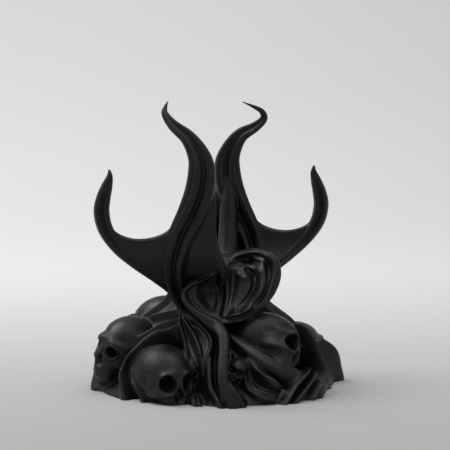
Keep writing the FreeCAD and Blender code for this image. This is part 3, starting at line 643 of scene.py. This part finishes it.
# Each row as for the tall tendril
SHORT = [
    (-13.0, 0.395, 0.60, 0.70), (-19.5, 0.448, 0.56, 0.66), (-28.0, 0.514, 0.60, 0.70),
    (-37.0, 0.582, 0.68, 0.78), (-45.0, 0.656, 0.82, 0.88), (-50.4, 0.735, 0.96, 0.98),
    (-52.2, 0.810, 1.00, 1.00), (-51.4, 0.870, 0.92, 0.94), (-49.7, 0.925, 0.72, 0.74),
    (-48.4, 0.968, 0.42, 0.45), (-48.6, 1.000, 0.12, 0.14),
]


def short_ridges(turn, share):
    """A rolled outer edge and a groove inside it, fading towards the tip."""
    across = np.cos(turn)
    face = np.abs(np.sin(turn)) * (1 - ease((share - 0.80) / 0.15))
    return face * (0.22 * bell(across + 0.55, 0.24) - 0.62 * bell(across - 0.10, 0.20)
                   + 0.20 * bell(across - 0.62, 0.2))


short_tendril = tendril(SHORT, SHORT_HEIGHT, SHORT_WIDTH, SHORT_THICKNESS, short_ridges, 96)
print("short tendril up to", short_tendril[0][:, 2].max())

# %% [markdown]
# The web is stretched between the tendrils like the skin of a wing. A solidified plane
# would do, but its lip would be square. Here the sheet has a front and a back from the
# start, and grows thinner towards its upper edge.

# %% The web
WEB_THICKNESS = 3.2
# The upper share of the web that grows thinner, and by how much
LIP_SHARE = 0.12
LIP_THINNER = 0.6
# Each row: across and height on the lower edge, then across and height on the upper one
WEB = smooth([
    (0.8, 40.0, 0.6, 93.0), (-3.0, 40.0, -3.0, 93.0), (-8.0, 40.0, -8.0, 92.0),
    (-14.0, 42.5, -12.5, 88.0), (-20.0, 47.0, -17.5, 81.5),
    (-26.0, 51.5, -22.0, 76.3), (-33.0, 57.0, -28.5, 73.4), (-40.0, 62.5, -36.5, 72.6),
    (-46.0, 68.5, -44.0, 74.8), (-51.0, 75.0, -49.5, 79.5),
], 160)


def web_form():
    """From the lower edge to the upper one and back behind it, with a rounded upper lip."""
    share = np.linspace(0, 1, 70)[None, :, None]
    low, high = WEB[:, None, :2], WEB[:, None, 2:]
    flat = low + (high - low) * share
    depth = petal_depth(flat[..., 1])
    lip = ease((share[..., 0] - 1 + LIP_SHARE) / LIP_SHARE)
    half = WEB_THICKNESS / 2 * (1 - LIP_THINNER * lip ** 2)
    front = np.stack([flat[..., 0], -depth - half, flat[..., 1]], axis=-1)
    back = np.stack([flat[..., 0], -depth + half, flat[..., 1]], axis=-1)
    return closed_form(np.concatenate([front, back[:, ::-1]], axis=1))


web = web_form()
print("web corners", len(web[0]))

# %% [markdown]
# ## The cowl
#
# In front of the column a cowl of cloth opens like a pouch. It could be a cup with a
# thickened edge. It is made as rings that run from its buried foot over the rim and down
# inside, because the rolled rim and the hollow are then one smooth skin.

# %% The cowl's outline
COWL_ACROSS = 7.5
COWL_HEIGHT = 49.5
COWL_HALF_WIDTH = 21.5
COWL_HALF_HEIGHT = 15.5
COWL_TOP_DEPTH = 15.0
COWL_FOOT_DEPTH = 30.0
COWL_HOLLOW = 8.6
COWL_RIM_DROP = 1.5
COWL_TUCK = 8.0
# How far back the rim lies at the lower right
LIP_BACK = 3.6
# The rim, in shares of the half width and the half height
COWL_RIM = np.array([
    (-0.22, 0.48), (-0.69, 0.17), (-1.00, -0.12), (-0.86, -0.55), (-0.55, -0.86),
    (-0.15, -0.99), (0.25, -0.88), (0.60, -0.61), (0.84, -0.10), (0.98, 0.50), (0.90, 0.88),
    (0.50, 1.00), (0.10, 0.86), (-0.22, 0.48),
])
# The rim's section, outwards and forwards in mm, from its buried foot to its inner side
COWL_SECTION = [
    (-9.0, -13.0), (0.5, -5.5), (0.9, -2.2), (0.6, -0.5), (-0.1, 0.4), (-0.9, 0.0), (-1.7, -1.5),
]
cowl_rim = smooth(COWL_RIM, 481)[:-1]
print("cowl width", 2 * COWL_HALF_WIDTH, "and height", 2 * COWL_HALF_HEIGHT)

# %% [markdown]
# The hollow's floor carries folds that are gathered at its foot, with troughs between
# them and a few knobs at the top. They are drawn like the folds of the heap.

# %% Folds in the cowl
# Folds in the hollow: half width, crest, power, then across and height
COWL_FOLDS = [
    (1.3, 3.6, 2.2, [(5.6, 53.5), (5.7, 51.9), (5.9, 45.3), (5.0, 41.0), (4.0, 37.0)]),
    (0.7, 1.4, 1.5, [(0.8, 53.5), (1.0, 51.9), (1.8, 44.7), (1.4, 41.0), (0.4, 38.7)]),
    (3.4, 2.6, 3.4, [(14.4, 52.2), (13.9, 49.0), (12.0, 45.0), (8.6, 40.8), (4.8, 37.2)]),
    (2.4, 4.2, 2.4, [(17.0, 67.5), (20.4, 62.0), (22.2, 55.0), (21.2, 49.0), (16.6, 42.6),
                     (7.1, 36.4)]),
    (1.6, 1.8, 2.0, [(-8.6, 50.0), (-9.0, 47.5), (-8.0, 43.5), (-2.9, 38.7)]),
]
# Troughs in the hollow, the same way
COWL_TROUGHS = [
    (1.1, 3.0, 2.0, [(15.6, 56.6), (18.6, 53.6), (19.0, 49.2), (16.6, 44.8), (11.6, 40.0)]),
    (1.4, 1.0, 2.0, [(-2.3, 50.0), (-3.8, 43.3), (-2.0, 39.8)]),
    (1.3, 2.2, 2.0, [(24.6, 60.5), (25.9, 53.1), (23.6, 47.0), (18.5, 42.0)]),
]
# Knobs at the top of the folds: across, height, radius
KNOBS = [(5.3, 54.8, 1.5), (11.4, 54.8, 1.0), (14.4, 53.6, 1.1), (7.6, 61.6, 1.4)]
KNOB_HEIGHT = 1.3
# The point that the folds are gathered towards, and how far from it they are full again
GATHER = (4, 35)
GATHER_SPAN = 12
print("folds in the hollow", len(COWL_FOLDS), "troughs", len(COWL_TROUGHS))


# %% The cowl's surface
def cowl_depth(across, height):
    """Leans out as it goes down in a straight line, and sinks into the column at the top."""
    top = COWL_HEIGHT + COWL_HALF_HEIGHT
    lean = COWL_TOP_DEPTH + (COWL_FOOT_DEPTH - COWL_TOP_DEPTH) * np.clip(
        (top - height) / (2 * COWL_HALF_HEIGHT), 0, 1)
    rightward = (across - COWL_ACROSS) / COWL_HALF_WIDTH
    return lean - COWL_TUCK * ease((height - top + 8.5) / 5) * (1 - ease((rightward - 0.53) / 0.28))


def drawn_on(flat, rows):
    """The field of ridges or troughs drawn on the hollow's floor, gathered at its foot."""
    field = np.zeros(flat.shape[:2])
    for half, crest, power, route in rows:
        run = smooth(route, 60)
        line = np.stack([run[:, 0], 0 * run[:, 0], run[:, 1]], axis=-1)
        away = np.hypot(run[:, 0] - GATHER[0], run[:, 1] - GATHER[1])
        full = ease((away + 3) / GATHER_SPAN)
        one = crest_over(flat, line, half * (0.35 + 0.65 * full), crest * (0.5 + 0.5 * full), power)
        field += one ** 4
    return field ** 0.25


def cowl_form():
    """Rings run from the buried foot over the rim, then shrink across the hollow's floor."""
    section = smooth(COWL_SECTION, 50)
    spread, forward = section[:, :1], section[:, 1:]
    low_right = bell(cowl_rim[:, 0] - 0.35, 0.38) * bell(cowl_rim[:, 1] + 0.85, 0.3)
    forward = forward - LIP_BACK * low_right[None] * ease((forward + 3) / 3)
    height = COWL_HEIGHT + (COWL_HALF_HEIGHT + spread) * cowl_rim[None, :, 1]
    across = COWL_ACROSS + (COWL_HALF_WIDTH + spread) * cowl_rim[None, :, 0]
    outside = np.stack([across, -cowl_depth(across, height) - forward, height], axis=-1)
    share = np.linspace(0.99, 0.01, 150)[:, None]
    height = COWL_HEIGHT + share * (height[-1:] - COWL_HEIGHT)
    across = COWL_ACROSS + share * (across[-1:] - COWL_ACROSS)
    floor = cowl_depth(across, height) - COWL_RIM_DROP - (
        COWL_HOLLOW - COWL_RIM_DROP) * (1 - share ** 2.5)
    flat = np.stack([across, 0 * across, height], axis=-1)
    raised = drawn_on(flat, COWL_FOLDS) - drawn_on(flat, COWL_TROUGHS)
    for x, z, radius in KNOBS:
        raised += KNOB_HEIGHT * bell(np.hypot(across - x, height - z), radius)
    raised *= ease((0.99 - share) / 0.08)
    inside = np.stack([across, -floor - raised, height], axis=-1)
    return closed_form(np.concatenate([outside, inside]))


cowl = cowl_form()
print("cowl corners", len(cowl[0]))

# %% [markdown]
# The cowl's left rim swells into a broad band that falls down the front of the heap, and
# near the foot it parts in two, with a groove between. A second roll of cloth follows
# the rim on the right, and the web's right edge rolls forward and runs down into the
# pouch. All four are rings carried along curves, like the tendrils.

# %% Bands and rims
def strand(route, flat=0.75):
    """A band through points given as across, depth, height, width and thickness."""
    run = smooth(route, 200)
    return carry(run[:, :3], run[:, 3], run[:, 4], columns=64, flat=flat)


front_band = strand([
    (-8.0, -20.6, 52.6, 1.2, 2.0), (-13.0, -22.4, 49.7, 1.6, 3.0), (-14.4, -24.3, 46.5, 1.8, 4.0),
    (-12.8, -26.4, 43.0, 2.2, 4.5), (-9.0, -28.6, 39.4, 3.0, 5.0), (-3.5, -31.0, 35.9, 4.6, 6.0),
    (1.2, -33.4, 33.2, 5.6, 7.0), (3.9, -37.6, 29.5, 5.3, 8.0), (4.3, -42.6, 24.0, 4.9, 8.0),
    (3.8, -47.2, 18.0, 4.8, 8.0), (3.8, -51.0, 12.0, 4.8, 8.0), (5.2, -53.2, 6.6, 4.8, 7.0),
    (7.6, -54.3, 2.0, 4.8, 6.0), (9.6, -54.8, -3.0, 5.2, 5.0),
], flat=0.6)
band_branch = strand([
    (4.8, -47.0, 15.0, 1.6, 4.0), (6.0, -50.2, 11.0, 2.6, 5.6), (8.4, -52.6, 7.4, 3.0, 6.0),
    (11.2, -53.2, 3.4, 3.2, 5.4), (13.8, -53.0, -3.0, 3.2, 5.0),
], flat=0.7)
outer_rim = strand([
    (29.4, -13.8, 62.0, 1.6, 3.4), (30.0, -15.0, 56.4, 2.4, 4.4), (29.2, -17.6, 51.6, 2.4, 4.4),
    (26.4, -20.4, 45.8, 2.0, 4.0), (21.8, -23.2, 40.8, 1.6, 3.4), (18.0, -24.4, 37.6, 1.0, 2.0),
])
web_edge = strand([
    (-0.4, -22.0, 80.0, 1.6, 3.4), (0.2, -21.4, 72.0, 2.2, 4.0), (1.6, -20.6, 65.0, 3.4, 5.0),
    (3.0, -19.4, 59.5, 4.2, 5.4), (3.8, -18.2, 55.0, 3.0, 4.4), (4.2, -17.0, 51.0, 1.4, 3.0),
])
cloth = [cowl, front_band, band_branch, outer_rim, web_edge]
print("cowl, bands and rims", len(cloth))

# %% [markdown]
# ## One print
#
# The real stand was printed in one go and has no seams. Booleans could join the forms,
# but so many that overlap would be slow and fragile. A voxel remesh is used instead: it
# keeps only their outer skin, and its small cubes round the creases a little, much as a
# printer does.

# %% Melt the forms into one piece
VOXEL = 0.5


def apply_modifiers(obj):
    """Replace an object's mesh with the one its modifiers make."""
    graph = bpy.context.evaluated_depsgraph_get()
    done = bpy.data.meshes.new_from_object(obj.evaluated_get(graph))
    old = obj.data
    obj.modifiers.clear()
    obj.data = done
    bpy.data.meshes.remove(old)
    return done


front_forms = [flank, short_tendril, web] + cloth
forms = [heap, front_tall, half_turn(rear_tall)] + SKULLS
forms += front_forms + [half_turn(form) for form in front_forms]
forms += [half_turn(form, move) for form, move in zip(SKULLS, REAR_MOVES)]
stand = bpy.data.objects.new("printed_stand", mesh_of("printed_stand", forms))
bpy.context.scene.collection.objects.link(stand)

melt = stand.modifiers.new("melt", "REMESH")
melt.mode = "VOXEL"
melt.voxel_size = VOXEL * MM
melt.use_smooth_shade = True
mesh = apply_modifiers(stand)
print("melted faces", len(mesh.polygons))

# %% [markdown]
# The stand rests on a flat underside, so every corner below the floor is lifted to it.
# Then the mesh is thinned where the surface is plain. The piece rides on the frame's root
# and takes the place of its one solid.

# %% Flat underside and fewer faces
TRIANGLE_LIMIT = 190000
count = len(mesh.vertices)
corner = np.empty(count * 3, np.float32)
mesh.vertices.foreach_get("co", corner)
corner = corner.reshape(-1, 3)
corner[:, 2] = np.maximum(corner[:, 2], 0.0)
mesh.vertices.foreach_set("co", corner.ravel())
mesh.update()

thin = stand.modifiers.new("thin", "DECIMATE")
thin.ratio = min(1.0, TRIANGLE_LIMIT / (2.0 * len(mesh.polygons)))
mesh = apply_modifiers(stand)
mesh.polygons.foreach_set("use_smooth", np.ones(len(mesh.polygons), bool))
print("finished faces", len(mesh.polygons), "triangles",
      sum(len(p.vertices) - 2 for p in mesh.polygons))
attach(stand, "root")
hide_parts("stand")

# %% [markdown]
# ## Material
#
# The real stand is one black plastic, a little glossy. Nodes could be wired one by one.
# Here a small class lets a value in a material be written like a number, because a
# formula is easier to read than a chain of nodes.

# %% Arithmetic on sockets
class Wire:
    """A value in a material; arithmetic on wires adds Math nodes."""

    def __init__(self, graph, socket):
        self.graph = graph
        self.socket = socket

    def math(self, operation, first, second):
        """A Math node with one operation on two values or wires."""
        return self.graph.add("ShaderNodeMath", {"operation": operation}, {0: first, 1: second})

    def __add__(self, other):
        return self.math("ADD", self, other)

    def __radd__(self, other):
        return self.math("ADD", other, self)

    def __mul__(self, other):
        return self.math("MULTIPLY", self, other)

    def __rmul__(self, other):
        return self.math("MULTIPLY", other, self)


class Graph:
    """A material and its nodes."""

    def __init__(self, name):
        self.material = bpy.data.materials.new(name)
        self.material.use_nodes = True
        self.shader = self.material.node_tree.nodes["Principled BSDF"]

    def add(self, kind, settings=None, inputs=None, output=0):
        """One node of any kind: its settings first, then values or wires for its sockets."""
        node = self.material.node_tree.nodes.new(kind)
        for key, value in (settings or {}).items():
            setattr(node, key, value)
        for key, value in (inputs or {}).items():
            self.feed(node.inputs[key], value)
        return Wire(self, node.outputs[output])

    def feed(self, socket, value):
        """Link a wire to a socket, or write a plain value in it."""
        if isinstance(value, Wire):
            self.material.node_tree.links.new(value.socket, socket)
        else:
            socket.default_value = value


print("operators for wires", [name for name in vars(Wire) if name.endswith(("add__", "mul__"))])

# %% [markdown]
# Each printed layer leaves a shallow line, a fine grain breaks the shine, and a mottle
# under a centimetre wide makes tone and gloss uneven. A picture could hold all of it, but
# formulas of the place on the piece need no unwrapping and stay sharp up close.

# %% Black print
LAYER = 0.3 * MM
DARK = (0.0034, 0.0035, 0.0040, 1)
LESS_DARK = (0.0066, 0.0068, 0.0077, 1)
GLEAM = 0.38
MOTTLE_SCALE = 120.0
GRAIN_SCALE = 900.0
# Bump heights in mm
LINE_HEIGHT = 0.010
GRAIN_HEIGHT = 0.045
MOTTLE_HEIGHT = 0.26
LEAST_ROUGH = 0.20
ROUGH_SPAN = 0.44


def black_print():
    """Layer lines are a sine of the height; grain and mottle are noise in two sizes."""
    graph = Graph("black print")
    place = graph.add("ShaderNodeTexCoord", output="Object")
    height = graph.add("ShaderNodeSeparateXYZ", None, {0: place}, "Z")
    lines = graph.add("ShaderNodeMath", {"operation": "SINE"}, {0: height * (2 * math.pi / LAYER)})
    mottle = graph.add(
        "ShaderNodeTexNoise", None, {"Vector": place, "Scale": MOTTLE_SCALE, "Detail": 3.0})
    grain = graph.add(
        "ShaderNodeTexNoise", None, {"Vector": place, "Scale": GRAIN_SCALE, "Detail": 2.0})
    rise = lines * LINE_HEIGHT + grain * GRAIN_HEIGHT + mottle * MOTTLE_HEIGHT
    colour = graph.add(
        "ShaderNodeMix", {"data_type": "RGBA"},
        {"Factor": mottle, 6: DARK, 7: LESS_DARK}, 2)
    bump = graph.add(
        "ShaderNodeBump", None, {"Height": rise, "Distance": MM, "Strength": 1.0})
    graph.feed(graph.shader.inputs["Base Color"], colour)
    graph.feed(graph.shader.inputs["Roughness"], LEAST_ROUGH + mottle * ROUGH_SPAN)
    graph.feed(graph.shader.inputs["Specular IOR Level"], GLEAM)
    graph.feed(graph.shader.inputs["Normal"], bump)
    return graph.material


stand.data.materials.clear()
stand.data.materials.append(black_print())
print("material", stand.data.materials[0].name)

# %% [markdown]
# ## Floor, light and camera
#
# The stand is shown in a plain pale room. Two planes would show a line where they meet, so
# a sheet of paper runs from the floor up into the wall in one wide bend.

# %% Floor and wall
FLOOR_TONE = (0.41, 0.413, 0.395, 1)
WALL_TONE = (0.80, 0.805, 0.79, 1)
PAPER_ROUGHNESS = 0.9
# Between these places in metres, front to back, the one tone turns into the other
TONE_FROM = -0.25
TONE_TO = 0.55


def pale_paper():
    """The tone runs from the floor's to the wall's with the depth, eased by Smoothstep."""
    graph = Graph("pale paper")
    place = graph.add("ShaderNodeTexCoord", output="Object")
    depth = graph.add("ShaderNodeSeparateXYZ", None, {0: place}, "Y")
    rise = graph.add(
        "ShaderNodeMapRange", {"interpolation_type": "SMOOTHSTEP"},
        {"Value": depth, "From Min": TONE_FROM, "From Max": TONE_TO})
    colour = graph.add(
        "ShaderNodeMix", {"data_type": "RGBA"},
        {"Factor": rise, 6: FLOOR_TONE, 7: WALL_TONE}, 2)
    graph.feed(graph.shader.inputs["Base Color"], colour)
    graph.feed(graph.shader.inputs["Roughness"], PAPER_ROUGHNESS)
    return graph.material


def backdrop():
    """A profile of depth and height, smoothed, drawn out sideways into a sheet."""
    profile = smooth([
        (-3.0, 0), (0.0, 0), (0.5, 0.0), (0.9, 0.06), (1.3, 0.3), (1.55, 0.8), (1.62, 2.4),
    ], 90)
    sides = np.array([-4.0, 4.0])
    count = len(profile)
    points = np.stack([
        np.broadcast_to(sides, (count, 2)), np.broadcast_to(profile[:, :1], (count, 2)),
        np.broadcast_to(profile[:, 1:], (count, 2)),
    ], axis=-1).reshape(-1, 3)
    index = np.arange(2 * count).reshape(count, 2)
    faces = np.stack([index[:-1, 0], index[:-1, 1], index[1:, 1], index[1:, 0]], axis=-1)
    sheet = bpy.data.meshes.new("backdrop")
    sheet.from_pydata(points.tolist(), [], faces.tolist())
    sheet.polygons.foreach_set("use_smooth", np.ones(len(sheet.polygons), bool))
    sheet.materials.append(pale_paper())
    paper = bpy.data.objects.new("backdrop", sheet)
    bpy.context.scene.collection.objects.link(paper)
    return paper


paper = backdrop()
print("backdrop corners", len(paper.data.vertices))

# %% [markdown]
# Light falls from a window-like lamp at the upper left, from a second one overhead and,
# faintly, from the front. Broad lamps are used instead of a sun, because black plastic is
# seen mostly by what it mirrors. The room itself gives an even pale glow.

# %% Lamps and world
WORLD_TONE = (0.80, 0.81, 0.82, 1)
WORLD_STRENGTH = 0.5
# Each lamp: name, place, what it looks at, width and height in metres, power in watts
LAMPS = [
    ("window", (-0.8, 0.25, 1.25), (0, 0, 0.06), (0.8, 0.8), 13),
    ("overhead", (0.25, -0.1, 1.4), (0, 0, 0.0), (0.8, 0.8), 5),
    ("fill", (1.0, -1.0, 0.6), (0, 0, 0.05), (0.6, 0.6), 0.3),
]


def area_light(name, place, target, size, power):
    """A rectangular lamp at a place, looking at a target."""
    lamp = bpy.data.lights.new(name, "AREA")
    lamp.shape = "RECTANGLE"
    lamp.size, lamp.size_y = size
    lamp.energy = power
    holder = bpy.data.objects.new(name, lamp)
    holder.location = place
    way = mathutils.Vector(target) - mathutils.Vector(place)
    holder.rotation_euler = way.to_track_quat("-Z", "Y").to_euler()
    bpy.context.scene.collection.objects.link(holder)


for lamp_values in LAMPS:
    area_light(*lamp_values)
world = bpy.data.worlds.new("room")
world.use_nodes = True
glow = world.node_tree.nodes["Background"]
glow.inputs["Color"].default_value = WORLD_TONE
glow.inputs["Strength"].default_value = WORLD_STRENGTH
bpy.context.scene.world = world
print("lamps", len(LAMPS))

# %% [markdown]
# The camera stands in front and looks down a little. A long lens from further off would
# flatten the heap. This distance shows as much of the tops of the skulls as the
# photograph does.

# %% Camera
CAMERA_PLACE = (0.00482, -0.700, 0.137)
LOOKS_DOWN = 4.90
FOCAL_LENGTH = 117.6
SENSOR_WIDTH = 36.0
lens = bpy.data.cameras.new("camera")
lens.lens = FOCAL_LENGTH
lens.sensor_width = SENSOR_WIDTH
lens.clip_start = 0.01
camera = bpy.data.objects.new("camera", lens)
camera.location = CAMERA_PLACE
camera.rotation_euler = (math.radians(90 - LOOKS_DOWN), 0, 0)
bpy.context.scene.collection.objects.link(camera)
bpy.context.scene.camera = camera
bpy.context.scene.view_settings.view_transform = "Standard"
print("camera", CAMERA_PLACE, "looks down", LOOKS_DOWN, "degrees")

# %% [markdown]
